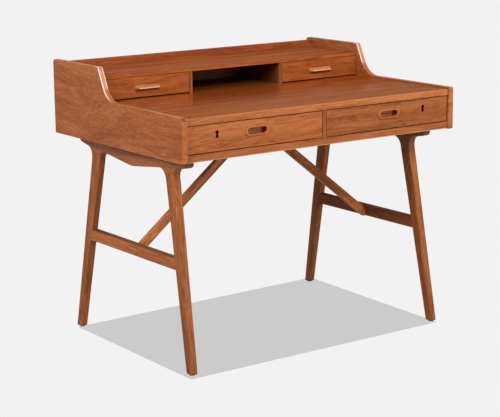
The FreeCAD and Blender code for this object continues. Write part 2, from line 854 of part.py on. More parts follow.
def small_drawer(name, side):
    """A gallery drawer that slides on the writing top, with a lip handle."""
    left, right = span(side, divider_place + divider_half + Desk.small_gap,
                       inner_half - Desk.small_gap)
    front_back = gallery_front + Desk.small_front_thickness
    back_end = back_front - Desk.small_rear_space
    back_start = back_end - Desk.small_side_thickness
    low = Desk.surface_height + Desk.slide_clearance
    front_top = shelf_underside - Desk.small_gap
    side_top = front_top - Desk.small_side_drop
    inner_left = left + Desk.small_side_thickness
    inner_right = right - Desk.small_side_thickness
    panel_low = low + Desk.small_groove_lift
    panel_high = panel_low + Desk.small_bottom_thickness
    groove_left = inner_left - Desk.small_groove_depth
    groove_right = inner_right + Desk.small_groove_depth
    groove_front = front_back - Desk.small_groove_depth
    stem = f"{name}_small_drawer"

    front = block(f"{stem}_front", (left, right), (gallery_front, front_back),
                  (Desk.surface_height + Desk.small_lift, front_top))
    round_over(front, Desk.fine_arris, in_plane("y", gallery_front))
    cut(front, "y", polygon(rectangle(groove_left, groove_right, panel_low, panel_high)),
        groove_front, front_back)
    for part, faces in (("left", (left, inner_left)), ("right", (inner_right, right))):
        board = block(f"{stem}_{part}_side", faces, (front_back, back_end), (low, side_top))
        groove_span = (groove_left, inner_left) if part == "left" else (inner_right, groove_right)
        cut(board, "z", polygon(rectangle(*groove_span, front_back, back_end)),
            panel_low, panel_high)
        round_over(board, Desk.fine_arris, at_corners("y", [(face, side_top) for face in faces]))
    back = block(f"{stem}_back", (inner_left, inner_right), (back_start, back_end),
                 (panel_high, side_top))
    round_over(back, Desk.fine_arris, at_corners("x", [(back_start, side_top), (back_end, side_top)]))
    block(f"{stem}_bottom", (groove_left, groove_right), (groove_front, back_end),
          (panel_low, panel_high))
    lip_handle(f"{stem}_handle", (left + right) / 2)


def lip_handle(label, middle):
    """Wedge of teak on the drawer front: sloped top, hollowed under for the fingers."""
    root, nose = gallery_front, gallery_front - Desk.handle_projection
    top = Desk.surface_height + Desk.handle_rise
    nose_top = top - Desk.handle_fall
    half = Desk.handle_length / 2
    half_nose = half - Desk.handle_taper
    profile = [(root, top - Desk.handle_root), (root, top), (nose, nose_top),
               (nose, nose_top - Desk.handle_nose)]
    body = prism(label, "x", profile, middle - half, middle + half)
    for sign in (-1, 1):
        corner = [(middle + sign * half, root), (middle + sign * half_nose, nose),
                  (middle + sign * (half + Desk.overrun), nose),
                  (middle + sign * (half + Desk.overrun), root)]
        cut(body, "z", polygon(corner), top - Desk.handle_root - Desk.overrun, top + Desk.overrun)
    in_front = root - Desk.match_tolerance
    round_over(body, Desk.handle_arris, lambda ends, edge: min(point.y for point in ends) < in_front)
    return body


# Leg frames

def rail_blank(label, side):
    """Top rail with stubs for both legs, in one curve: rounded horns, bends and a shallow
    belly, bored for the rail screws and the dowels, before it is sawn at the seams."""
    top = case_underside
    corner_height = top - Desk.rail_drop
    stub = neck_height - Desk.stub_waste
    half = Desk.neck_width / 2

    def edge(end, height, outward):
        return y_on_frame(end, leg_middle(height) + outward * leg_half_depth(height), height)

    def end_of_rail(end):
        horn = y_on_frame(end, horn_reach, neck_height)
        return [(horn, top), (horn, top - Desk.horn_drop),
                (edge(end, corner_height, 1), corner_height), (edge(end, stub, 1), stub),
                (edge(end, stub, -1), stub), (edge(end, corner_height, -1), corner_height)]

    back_half, front_half = end_of_rail(1), end_of_rail(-1)
    belly = [(frame_middle(neck_height), top - Desk.belly_drop)]
    faces = span(side, neck_spread - half, neck_spread + half)
    body = prism(label, "x", back_half + belly + front_half[::-1], *faces)
    round_over(body, Desk.bend_radius, at_corners("x", [back_half[5], front_half[5]]))
    round_over(body, Desk.horn_bend_radius, at_corners("x", [back_half[2], front_half[2]]))
    round_over(body, Desk.horn_radius, at_corners("x", [back_half[1], front_half[1]]))
    round_over(body, Desk.belly_radius, at_corners("x", belly))
    face_edges = either(in_plane("x", faces[0]), in_plane("x", faces[1]))
    flat_ends = either(in_plane("z", top), in_plane("z", stub))
    round_over(body, Desk.leg_arris, lambda ends, e: face_edges(ends, e) and not flat_ends(ends, e))
    for place in rail_screw_places:
        centre = (side * neck_spread, place)
        low = top - Desk.belly_drop - Desk.overrun
        shoulder = rail_screw_head + Desk.screw_head_height
        cut(body, "z", disc(*centre, Desk.counterbore_radius), low, shoulder)
        cut(body, "z", disc(*centre, screw_bore), rail_screw_head, top)
    for end in (-1, 1):
        for across in (-1, 1):
            cut(body, "z", disc(side * neck_spread, dowel_place(end, across), Desk.dowel_radius),
                seam_height - Desk.dowel_length / 2, seam_height + Desk.dowel_length / 2)
    return body, faces


def dowel_place(end, across):
    return y_on_frame(end, leg_middle(seam_height), seam_height) + across * Desk.dowel_spacing / 2


def beyond_saw(end):
    """From the saw cut's inner end to past the horn, in rising order on Y."""
    inner = y_on_frame(end, saw_reach, neck_height)
    outer = y_on_frame(end, horn_reach + Desk.overrun, neck_height)
    return (inner, outer) if end > 0 else (outer, inner)


def top_rail(name, side):
    """Shaped rail under the case, sawn level where the legs are dowelled on."""
    body, faces = rail_blank(f"top_rail_{name}", side)
    for end in (-1, 1):
        waste = rectangle(*beyond_saw(end), neck_height - Desk.stub_waste - Desk.overrun, seam_height)
        cut(body, "x", polygon(waste), *faces)
    return body


def leg(name, side, end_name, end):
    """Splayed, tapered leg; its neck flares into the rail's curve above it."""
    body, faces = rail_blank(f"{end_name}_leg_{name}_blank", side)
    below, above = neck_height - Desk.stub_waste - Desk.overrun, case_underside + Desk.overrun
    kept = beyond_saw(end)
    far = y_on_frame(-end, horn_reach + Desk.overrun, neck_height)
    rest = (far, kept[0]) if end > 0 else (kept[1], far)
    cut(body, "x", polygon(rectangle(*rest, below, above)), *faces)
    cut(body, "x", polygon(rectangle(*kept, seam_height, above)), *faces)
    cut(body, "x", polygon(rectangle(*kept, below, neck_height)), *faces)
    neck = [f"Face{number}" for number, face in enumerate(body.Shape.Faces, start=1)
            if all(abs(vertex.Point.z - neck_height) < Desk.match_tolerance for vertex in face.Vertexes)]

    shaped = body.Tip
    sections = []
    heel = Desk.glide_height + Desk.foot_arris
    for height, drawn_in in ((heel, 0), (Desk.glide_height, Desk.foot_arris)):
        section = sketch_on(body, "z", height)
        centre = (side * frame_plane(height), y_on_frame(end, leg_middle(height), height))
        depth = 2 * leg_half_depth(height)
        rounded_rectangle(*centre, Desk.foot_width - 2 * drawn_in, depth - 2 * drawn_in,
                          Desk.leg_arris - drawn_in)(section)
        sections.append(section)
    taper = body.newObject("PartDesign::AdditiveLoft", "Taper")
    taper.Profile = (shaped, neck)
    taper.Sections = sections
    taper.Ruled = True
    foot = (side * frame_plane(Desk.glide_height),
            y_on_frame(end, leg_middle(Desk.glide_height), Desk.glide_height))
    cut(body, "z", disc(*foot, Desk.nail_radius + Desk.screw_bore_clearance),
        Desk.glide_height, Desk.glide_height + Desk.nail_length)
    return body


def stretcher_bar(label, side, half_thick, low, high, reach):
    """A straight bar between the legs, centred on the frame."""
    faces = span(side, stretcher_plane - half_thick, stretcher_plane + half_thick)
    ends = [y_on_frame(end, reach, stretcher_middle) for end in (-1, 1)]
    return block(label, faces, ends, (low, high))


def side_frame(name, side):
    """Two legs tenoned by a stretcher that is scribed to their rounded edges."""
    shoulder = leg_middle(stretcher_middle) - leg_half_depth(stretcher_middle)
    tenon = stretcher_bar(f"tenon_{name}", side, Desk.tenon_thickness / 2,
                          stretcher_middle - Desk.tenon_height / 2,
                          stretcher_middle + Desk.tenon_height / 2, shoulder + Desk.tenon_length)
    blanks = {end_name: leg(name, side, end_name, end)
              for end_name, end in (("front", -1), ("back", 1))}
    for end_name, blank in blanks.items():
        finished = taken_from(f"{end_name}_leg_{name}", blank, tenon)
        finished.Label = f"{end_name}_leg_{name}"

    bar = stretcher_bar(f"bar_{name}", side, stretcher_half, Desk.stretcher_underside,
                        stretcher_top, leg_middle(stretcher_middle))
    faces = span(side, stretcher_plane - stretcher_half, stretcher_plane + stretcher_half)
    arrises = [(face, height) for face in faces
               for height in (Desk.stretcher_underside, stretcher_top)]
    round_over(bar, Desk.stretcher_arris, at_corners("y", arrises))
    scribed = taken_from(f"scribed_{name}", bar, blanks["front"])
    scribed = taken_from(f"scribed_twice_{name}", scribed, blanks["back"])
    joined = fused(f"joined_{name}", scribed, tenon)
    bore = cylinder(f"bore_{name}", screw_bore, Desk.stretcher_thickness + 2 * Desk.overrun)
    head = cylinder(f"head_bore_{name}", Desk.screw_head_radius + Desk.screw_bore_clearance,
                    Desk.screw_head_height + Desk.overrun)
    outward = side * (stretcher_plane + stretcher_half + Desk.overrun)
    inward = "-x" if side > 0 else "+x"
    for tool in (bore, head):
        stand(tool, (outward, brace_middle, brace_screw_height), inward)
    finished = taken_from(f"stretcher_{name}", joined, fused(f"screw_tool_{name}", bore, head))
    finished.Label = f"stretcher_{name}"


def brace(name, side):
    """Slanting strut from the stretcher's inner face up to the case bottom."""
    rise = case_underside - brace_foot_height
    run = brace_face - Desk.brace_top_spread
    length = (run * run + rise * rise).root()
    half_across = Desk.brace_width / 2 * length / rise
    half_upright = Desk.brace_width / 2 * length / run
    top = case_underside
    foot_top = brace_foot_height + half_upright
    toe = Desk.brace_top_spread - half_across + (top - Desk.stretcher_underside) * run / rise
    outline = [(brace_face, Desk.stretcher_underside), (brace_face, foot_top),
               (Desk.brace_top_spread + half_across, top),
               (Desk.brace_top_spread - half_across, top), (toe, Desk.stretcher_underside)]
    half_thick = Desk.brace_thickness / 2
    faces = (brace_middle - half_thick, brace_middle + half_thick)
    body = prism(f"brace_{name}", "y", [(side * x, z) for x, z in outline], *faces)
    slant = both(either(in_plane("y", faces[0]), in_plane("y", faces[1])),
                 lambda ends, edge: edge.Length > rise / 2)
    round_over(body, Desk.brace_arris, slant)
    centre = (brace_middle, brace_screw_height)
    reach = stretcher_plane + stretcher_half - Desk.brace_screw_length
    cut(body, "x", disc(*centre, screw_bore), *span(side, reach, brace_face))
    upper = (side * Desk.brace_top_screw_spread, brace_middle)
    cut(body, "z", disc(*upper, screw_bore), brace_screw_head, top)
    cut(body, "z", disc(*upper, Desk.counterbore_radius), brace_screw_head - Desk.brace_width,
        brace_screw_head + Desk.screw_head_height)
    return body


def frame_screws():
    """Screws through the top rails into the case bottom."""
    screws = []
    for name, side in SIDES.items():
        for number, place in enumerate(rail_screw_places):
            spot = (side * neck_spread, place, rail_screw_head)
            screws.append(wood_screw(f"rail_screw_{name}_{number}", spot, "+z",
                                     Desk.rail_screw_length))
    return group("rail_screws", screws)


def brace_screws():
    """One screw through each stretcher into its brace, and one up into the case bottom."""
    screws = []
    for name, side in SIDES.items():
        outer = (side * (stretcher_plane + stretcher_half), brace_middle, brace_screw_height)
        upper = (side * Desk.brace_top_screw_spread, brace_middle, brace_screw_head)
        inward = "-x" if side > 0 else "+x"
        for part, spot, direction, length in (("lower", outer, inward, Desk.brace_screw_length),
                                              ("upper", upper, "+z", Desk.brace_top_screw_length)):
            screws.append(wood_screw(f"brace_screw_{name}_{part}", spot, direction, length))
    return group("brace_screws", screws)


def leg_dowels():
    """Two dowels in each seam between a leg and its top rail."""
    dowels = []
    for name, side in SIDES.items():
        for end_name, end in (("front", -1), ("back", 1)):
            for across in (-1, 1):
                dowel = cylinder(f"dowel_{name}_{end_name}_{across + 1}",
                                 Desk.dowel_radius - Desk.screw_bore_clearance, Desk.dowel_length)
                stand(dowel, (side * neck_spread, dowel_place(end, across),
                              seam_height - Desk.dowel_length / 2))
                dowels.append(dowel)
    return group("leg_dowels", dowels)


def foot_glides():
    """A round nail-on glide under each leg."""
    glides = []
    height = Desk.glide_height
    for name, side in SIDES.items():
        for end_name, end in (("front", -1), ("back", 1)):
            plate = cylinder(f"glide_plate_{name}_{end_name}", Desk.glide_radius, height)
            nail = cylinder(f"glide_nail_{name}_{end_name}", Desk.nail_radius, height + Desk.nail_length)
            glide = fused(f"glide_{name}_{end_name}", plate, nail)
            stand(glide, (side * frame_plane(height),
                          y_on_frame(end, leg_middle(height), height), 0))
            glides.append(glide)
    return group("foot_glides", glides)


# Assembly

writing_top()
front_lipping("top_front_lipping", top_underside, Desk.surface_height, Desk.surface_height)
case_bottom()
front_lipping("bottom_front_lipping", case_underside, case_floor, case_underside)
back_panel()
centre_partition()
drawer_stops()
gallery_shelf()
lock_strikes()
for side_name, side_sign in SIDES.items():
    side_panel(side_name, side_sign)
    drawer_runners(side_name, side_sign)
    gallery_divider(side_name, side_sign)
    large_drawer(side_name, side_sign)
    small_drawer(side_name, side_sign)
    side_frame(side_name, side_sign)
    top_rail(side_name, side_sign)
    brace(side_name, side_sign)
frame_screws()
brace_screws()
leg_dowels()
foot_glides()
doc.recompute()

# Pieces in the order of their files; every one is a finished solid or group of solids
PIECES = [
    "writing_top", "top_front_lipping", "case_bottom", "bottom_front_lipping", "back_panel",
    "centre_partition", "drawer_stops", "gallery_shelf", "lock_strikes",
    "rail_screws", "brace_screws", "leg_dowels", "foot_glides",
]
for side_name in SIDES:
    PIECES += [f"{stem}_{side_name}" for stem in
               ("side_panel", "gallery_divider", "front_leg", "back_leg", "top_rail",
                "stretcher", "brace")]
    PIECES += [f"{side_name}_drawer_{part}" for part in
               ("runners", "front", "left_side", "right_side", "back", "bottom", "pull",
                "lock_case", "lock_bolt", "lock_screws")]
    PIECES += [f"{side_name}_small_drawer_{part}" for part in
               ("front", "left_side", "right_side", "back", "bottom", "handle")]

for item in doc.Objects:
    if {"Invalid", "Error"} & set(item.State):
        raise RuntimeError(f"{item.Label} failed: {item.State}")

by_label = {item.Label: item for item in doc.Objects}
os.makedirs("parts", exist_ok=True)
for piece in PIECES:
    shape = by_label[piece].Shape
    if shape.isNull() or not shape.isValid():
        raise RuntimeError(f"{piece} has no valid shape")
for piece in PIECES:
    by_label[piece].Shape.exportStep(f"parts/{piece}.step")
    print(f"{piece}: {len(by_label[piece].Shape.Solids)} solid(s)")
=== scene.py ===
import math
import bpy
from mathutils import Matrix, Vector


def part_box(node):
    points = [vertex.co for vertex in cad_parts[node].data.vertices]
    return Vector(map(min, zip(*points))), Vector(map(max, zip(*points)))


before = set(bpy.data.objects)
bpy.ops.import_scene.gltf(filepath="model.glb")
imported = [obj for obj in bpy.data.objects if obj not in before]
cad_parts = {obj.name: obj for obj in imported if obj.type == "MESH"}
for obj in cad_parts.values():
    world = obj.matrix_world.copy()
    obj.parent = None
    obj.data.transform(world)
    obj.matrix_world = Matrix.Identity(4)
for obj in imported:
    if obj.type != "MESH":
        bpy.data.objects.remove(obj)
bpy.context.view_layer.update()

from types import SimpleNamespace

import bpy
from mathutils import Matrix, Vector

# The desk is oiled teak: veneered boards with solid lippings, and shaped solid teak
# for legs, rails, braces, pulls and handles. Lengths are in metres unless a name
# ends in mm.

MM = 0.001
SIDES = {"left": -1, "right": 1}
ALONG_X, ALONG_Y, UPRIGHT = (1, 0, 0), (0, 1, 0), (0, 0, 1)


# Colours and shader nodes

def linear(code):
    """The linear RGBA of an sRGB hex colour."""
    channels = [int(code[i:i + 2], 16) / 255 for i in (1, 3, 5)]
    bent = [c / 12.92 if c <= 0.04045 else ((c + 0.055) / 1.055) ** 2.4 for c in channels]
    return (*bent, 1.0)


def add(tree, kind, *values, out=None, **named):
    """Adds a shader node and gives its first output, or the one that out names. values go to
    its inputs in order. A name with a capital is an input, any other is a setting."""
    node = tree.nodes.new("ShaderNode" + kind)
    for name, value in named.items():
        if name[0].islower():
            setattr(node, name, value)
    inputs = [socket for socket in node.inputs if socket.enabled]
    filled = list(zip(inputs, values))
    for name, value in named.items():
        if name[0].isupper():
            filled.append((next(s for s in inputs if s.name.replace(" ", "_") == name), value))
    for socket, value in filled:
        if isinstance(value, bpy.types.NodeSocket):
            tree.links.new(value, socket)
        else:
            socket.default_value = value
    return next((s for s in node.outputs if s.enabled and out in (None, s.name)), None)


def new_material(name):
    material = bpy.data.materials.new(name)
    material.use_nodes = True
    material.node_tree.nodes.clear()
    return material, material.node_tree


def place(tree, axis):
    """A piece's own X, Y or Z, or across: how far a point is from the desk's middle plane."""
    here = add(tree, "TexCoord", out="Object")
    if axis == "across":
        return add(tree, "Math", add(tree, "SeparateXYZ", here, out="X"), operation="ABSOLUTE")
    return add(tree, "SeparateXYZ", here, out=axis)


def band(tree, value, low, high, fade_mm):
    """1 where value is between low and high, fading out over fade_mm beyond them."""
    fade = fade_mm * MM
    rise = add(tree, "MapRange", value, low - fade, low)
    fall = add(tree, "MapRange", value, high, high + fade, 1.0, 0.0)
    return add(tree, "Math", rise, fall, operation="MULTIPLY")


def mask(tree, *boxes):
    """1 inside every box. A box gives its low end, high end and fade in mm along its axes."""
    inside = 1.0
    for box in boxes:
        for axis, (low, high, fade_mm) in box.items():
            part = band(tree, place(tree, axis), low, high, fade_mm)
            inside = add(tree, "Math", inside, part, operation="MULTIPLY")
    return inside


def laid(tree, colour, where, tone, share=1.0, blend="MIX"):
    """A tone laid over a colour, as strongly as share says, where a mask is 1."""
    factor = add(tree, "Math", where, share, operation="MULTIPLY")
    return add(tree, "Mix", factor, colour, linear(tone), data_type="RGBA", blend_type=blend)


def mark(tone, share=1.0, blend="MIX", rougher=0.0, **box):
    """A mark of use, or a painted highlight or shade: inside its box it lays a tone over the finish
    and makes it rougher.
    """
    def lay(finish):
        where = mask(finish.tree, box)
        finish.colour = laid(finish.tree, finish.colour, where, tone, share, blend)
        if rougher:
            finish.rough = add(finish.tree, "Math", where, rougher, finish.rough,
                               operation="MULTIPLY_ADD")
    return lay


# Wood

TONE_STEPS = (0.41, 0.50, 0.59)      # where the figure reaches the dark band, body and light band
STREAK_LEAN = math.radians(7)
PORE_BROWN, PORE_SHARE = "#7A4426", 0.28
FIBRE_ROUGHNESS = 0.14
RELIEF_DEPTH = 0.12 * MM


def grain_turn(direction):
    """The turn that lays a grain direction along X."""
    along = Vector(direction).normalized()
    helper = Vector((0, 0, 1)) if abs(along.z) < 0.9 else Vector((0, 1, 0))
    across = helper.cross(along).normalized()
    return Matrix((along, across, along.cross(across))).to_euler("XYZ")


def grain_space(tree, direction, shift_mm=(0, 0, 0)):
    """Coordinates in millimetres: X along the grain, Y and Z across it."""
    turned = add(tree, "Mapping", Vector=add(tree, "TexCoord", out="Object"),
                 Rotation=grain_turn(direction), Location=[v * MM for v in shift_mm])
    return add(tree, "Mapping", Vector=turned, Scale=(1 / MM,) * 3)


def stretched_noise(tree, space, along_mm, across_mm, detail, roughness=0.5, out=None):
    """Soft noise whose features are along_mm long and across_mm wide."""
    scale = (1 / along_mm, 1 / across_mm, 1 / across_mm)
    return add(tree, "TexNoise", out=out, Vector=add(tree, "Mapping", Vector=space, Scale=scale),
               Scale=1.0, Detail=detail, Roughness=roughness)


def teak_figure(tree, space, tones, shares=(0.32, 0.34, 0.18, 0.16), wander_mm=14, streaks=0.5):
    """Colour, fibre and pores of teak cut along X: broad soft bands, growth lines, hair-fine
    fibre lines and short flecks, in the given shares. tones are a dark band, the body, a light
    band and a mineral streak. The lines wander sideways by wander_mm."""
    dark_band, body, light_band, streak_tone = tones
    drift = stretched_noise(tree, space, along_mm=320, across_mm=90, detail=1.5, out="Color")
    drift = add(tree, "VectorMath", drift, (0.5, 0.5, 0.5), operation="SUBTRACT")
    sway = (0, 5 * wander_mm, 5 * wander_mm)
    pushed = add(tree, "VectorMath", drift, sway, space, operation="MULTIPLY_ADD")

    bands = stretched_noise(tree, pushed, along_mm=900, across_mm=34, detail=2.0)
    growth = stretched_noise(tree, pushed, along_mm=380, across_mm=5, detail=2.0, roughness=0.55)
    fibre = stretched_noise(tree, pushed, along_mm=120, across_mm=1.6, detail=1.0, roughness=0.6)
    fleck = stretched_noise(tree, space, along_mm=16, across_mm=2.4, detail=1.0)
    figure = 0.0
    for layer, share in zip((bands, growth, fibre, fleck), shares):
        figure = add(tree, "Math", layer, share, figure, operation="MULTIPLY_ADD")
    colour = linear(dark_band)
    for tone, low, high in zip((body, light_band), TONE_STEPS, TONE_STEPS[1:]):
        colour = laid(tree, colour, add(tree, "MapRange", figure, low, high), tone)

    # Mineral streaks: a few dark threads that lean across the grain, in patches
    leaned = add(tree, "Mapping", Vector=space, Rotation=(0, STREAK_LEAN, STREAK_LEAN))
    thread = stretched_noise(tree, leaned, along_mm=240, across_mm=5, detail=1.5, roughness=0.6)
    thread = add(tree, "MapRange", thread, 0.56, 0.70)
    patch = stretched_noise(tree, space, along_mm=210, across_mm=45, detail=0.0)
    patch = add(tree, "MapRange", patch, 0.48, 0.64)
    streak = add(tree, "Math", thread, patch, operation="MULTIPLY")
    colour = laid(tree, colour, streak, streak_tone, streaks)

    # Pores: dashes 6 mm long, drawn a little wide so that they show a step away
    pore = stretched_noise(tree, space, along_mm=6, across_mm=0.5, detail=0.0)
    pore = add(tree, "MapRange", pore, 0.60, 0.72)
    return laid(tree, colour, pore, PORE_BROWN, PORE_SHARE, "MULTIPLY"), fibre, pore


def teak(name, direction, tones, shift_mm=(0, 0, 0), roughness=0.5, sheen_level=0.12, marks=(),
         **figure):
    """Oiled teak, planed and hand rubbed: golden to red brown lines, short open pores and a
    low satin gloss. marks change its colour, roughness and wax coat at places of their own."""
    material, tree = new_material(name)
    space = grain_space(tree, direction, shift_mm)
    colour, fibre, pore = teak_figure(tree, space, tones, **figure)
    rough = add(tree, "Math", fibre, FIBRE_ROUGHNESS, roughness - FIBRE_ROUGHNESS / 2,
                operation="MULTIPLY_ADD")
    finish = SimpleNamespace(tree=tree, space=space, colour=colour, rough=rough, wax=0.0)
    for lay in marks:
        lay(finish)
    relief = add(tree, "Math", fibre, pore, operation="SUBTRACT")
    bump = add(tree, "Bump", Strength=0.25, Distance=RELIEF_DEPTH, Height=relief)
    shader = add(tree, "BsdfPrincipled", Base_Color=finish.colour, Roughness=finish.rough,
                 Normal=bump, IOR=1.5, Specular_IOR_Level=sheen_level, Coat_Weight=finish.wax,
                 Coat_Roughness=0.16)
    add(tree, "OutputMaterial", shader)
    return material


def pale_wood(name, direction):
    """Waxed oak or beech of the hidden boards: pale, straight grained, nearly matt."""
    return teak(name, direction, OAK, wander_mm=6, streaks=0.1, roughness=0.6)


# Wood tones: dark band, body, light band, mineral streak

FRONT_TONES = {"left": ("#904D25", "#A35C2F", "#B46B3B", "#5B2E16"),
               "right": ("#7C421F", "#915028", "#A56135", "#5A2D17")}
SMALL_FRONT = ("#7B3B14", "#91491B", "#A35926", "#552814")
PANEL = ("#874726", "#A05930", "#B46C41", "#673823")
TOP = ("#83421E", "#9A5025", "#AB6031", "#5E2F18")
SHELF = ("#813E1A", "#9B4E22", "#AD5F2E", "#5E2F18")
BACK = ("#78371B", "#8E4522", "#A0542D", "#562A15")
LIPPING = ("#945129", "#A96133", "#BC7240", "#774122")
LOW_LIPPING = ("#864926", "#9B562D", "#AC6639", "#6F3F25")
HANDLE = ("#9F6038", "#AF6E43", "#C08052", "#8A5232")
PULL = ("#8C4A24", "#A15A2D", "#B36B3B", "#673519")
PARTITION = ("#884A28", "#A25A31", "#B56C40", "#653519")
DIVIDERS = ("#6F3B21", "#884929", "#9A5834", "#532B17")
LEGS_AND_RAILS = ("#75401F", "#96542B", "#B36D3C", "#4E2814")
BRACES = ("#8A4B27", "#AF6638", "#CA814D", "#5E301A")
STRETCHERS = {"left": ("#8F4F2B", "#A86032", "#BE743F", "#633218"),
              "right": ("#743E20", "#8C4D29", "#A05F34", "#522A16")}
OAK = ("#A88458", "#BF9C6C", "#CDAD80", "#8F6C44")


# Marks of age and use, and painted highlights and shade, where the CAD has the edges, gaps and
# holes. A box gives, along X, Y, Z or across, its low end, its high end and how softly it fades in
# mm.

# The colour of painted shade in the gaps
GAP_SHADE = "#1C100A"
SWEEP = {"across": (0.4733, 0.4907, 0.2), "Y": (-0.2, 0.1, 10), "Z": (0.748, 0.829, 10)}
SWEEP_TOP = {"Z": (0.778, 0.84, 10)}
INNER_RIM = {"across": (0.4736, 0.4762, 0.8)}
OUTER_RIM = {"across": (0.4878, 0.4904, 0.8)}
LIPPED_EDGE = {"across": (0.4744, 0.4896, 1.1)}
# Painted highlights: on a side panel's sweep, and paler still on its rims
SWEEP_HIGHLIGHT, RIM_HIGHLIGHT = "#E3A87E", "#F3D2BC"
COMPARTMENT = {"across": (0.0, 0.1632, 0.4), "Y": (0.100, 0.3205, 12), "Z": (0.7295, 0.7950, 0.4)}

# The writing top's wax, painted shade and painted sheen, by where a change starts and ends along Y
# or X, and the shares that it goes from and to
WAX_AND_SHADE_TO_THE_BACK = (-0.26, 0.0)
SHADE_TO_THE_RIGHT = (-0.38, -0.16, 0.1, 0.9)
SHEEN_TO_THE_RIGHT = (-0.45, -0.15, 0.0, 0.25)
GLOSS_TO_THE_LEFT = (0.24, 0.38, 0.9, 0.0)
# Tints of the top's painted shade and painted sheen
TOP_SHADE_TINT, TOP_SHEEN_TONE = "#F4D3A8", "#A07050"

# A stretcher's screw in the middle of the ring of painted shade round it
SCREW_Y, SCREW_Z, RING_REACH = -0.0063, 0.308, 6.2 * MM
# The dark of the ring's painted shade and of a stretcher's darker top face
STRETCHER_DARK = "#2E170C"

# Painted shade inside the open compartment: dark brown over its back and dividers, and a darker top
compartment_back_shade = mark("#422918", 0.9, **COMPARTMENT)
compartment_divider_shade = mark("#5F3217", 0.9, **COMPARTMENT)
compartment_top_shade = mark("#A7AE9E", blend="MULTIPLY", **COMPARTMENT)
# Painted shade, a dark line along the foot of the small drawers' fronts; and bruised wood at the
# left corner
shade_by_small_drawers = mark(GAP_SHADE, across=(0.174, 0.472, 1), Y=(0.0885, 0.0945, 1))
corner_bruise = mark("#57362F", 0.8, X=(-0.4895, -0.478, 1), Y=(-0.36, -0.346, 2),
                     Z=(0.7278, 0.74, 1))
# Painted shade: the keyholes' walls black through the front, and the lock's case black behind each
# hole
keyhole_wall_shade = mark("#120B07", across=(0.367, 0.379, 0.1), Y=(-0.347, -0.3, 0.2),
                     Z=(0.67, 0.6925, 0.1))
lock_case_hole_shade = mark("#0B0908", across=(0.3665, 0.3795, 0.1), Y=(-0.3369, -0.3361, 0.1),
                      Z=(0.6695, 0.693, 0.1))
# Painted highlights: the low lipping's lower arris pale with light from the floor, and a pull's
# raised bead a little paler along its crest, which is also smoother
arris_highlight = mark("#D9AE84", 0.75, Z=(0.6, 0.6118, 0.8))
bead_highlight = mark("#D89A6B", 0.12, rougher=-0.08, Y=(-0.36, -0.3508, 0.5))
# A lip handle: painted shade in the hollow beneath it, and a painted highlight along its nose
hollow_shade = mark("#3E2012", 0.85, Z=(0.74, 0.7586, 1.2))
nose_highlight = mark("#EDBE9F", 0.5, Y=(0.06, 0.0738, 0.8))
# Legs and rails: the glued seam, drawn 1 mm wide so that it shows; painted shade, greyish, towards
# the case above the rails; the lowest 5.5 mm of each foot black; and the front legs darker towards
# the foot
glued_seam = mark("#4A2614", 0.55, Z=(0.5597, 0.5603, 0.4))
shade_under_case = mark("#38403A", 0.3, Z=(0.606, 0.7, 40))
black_foot_end = mark("#1C1410", 0.85, across=(0.4414, 0.4534, 1.5), Z=(0.0, 0.0055, 1))
darker_towards_foot = mark("#DDD6D2", blend="MULTIPLY", Z=(0.0, 0.05, 400))
# The stretchers' top faces darker and rougher
darker_stretcher_top = mark(STRETCHER_DARK, 0.45, rougher=0.4, Z=(0.3218, 0.33, 1))


def gap_shade(top, inner, outer):
    """Painted shade in the gaps along a large front's top edge, its end at the partition and its
    outer end, as dark as top, inner and outer say."""
    return [mark(GAP_SHADE, top, Z=(0.7094, 0.7106, 0.4)),
            mark(GAP_SHADE, inner, across=(0.0070, 0.0084, 0.4)),
            mark(GAP_SHADE, outer, across=(0.4696, 0.4710, 0.4))]


def solid_edges(finish):
    """Solid lipping on a side panel's edges, between its veneered faces: a little lighter, rubbed
    glossy by hands along the sweep's upper part and its rims, and painted highlights make these
    paler, most of all the rims."""
    tree = finish.tree
    upper = mask(tree, SWEEP, SWEEP_TOP)
    rims = add(tree, "Math", mask(tree, SWEEP, SWEEP_TOP, INNER_RIM), mask(tree, SWEEP, OUTER_RIM),
               operation="MAXIMUM")
    glossy_and_highlit = add(tree, "Math", upper, rims, operation="MAXIMUM")
    lipping = teak_figure(tree, finish.space, LIPPING, streaks=0.0)[0]
    lipping = laid(tree, lipping, glossy_and_highlit, SWEEP_HIGHLIGHT, 0.25)
    lipping = laid(tree, lipping, rims, RIM_HIGHLIGHT, 0.7)
    edge = add(tree, "Math", mask(tree, LIPPED_EDGE), rims, operation="MAXIMUM")
    finish.colour = add(tree, "Mix", edge, finish.colour, lipping, data_type="RGBA")
    finish.rough = add(tree, "Math", glossy_and_highlit, -0.22, finish.rough, operation="MULTIPLY_ADD")
    finish.wax = add(tree, "Math", glossy_and_highlit, 0.8, operation="MULTIPLY")


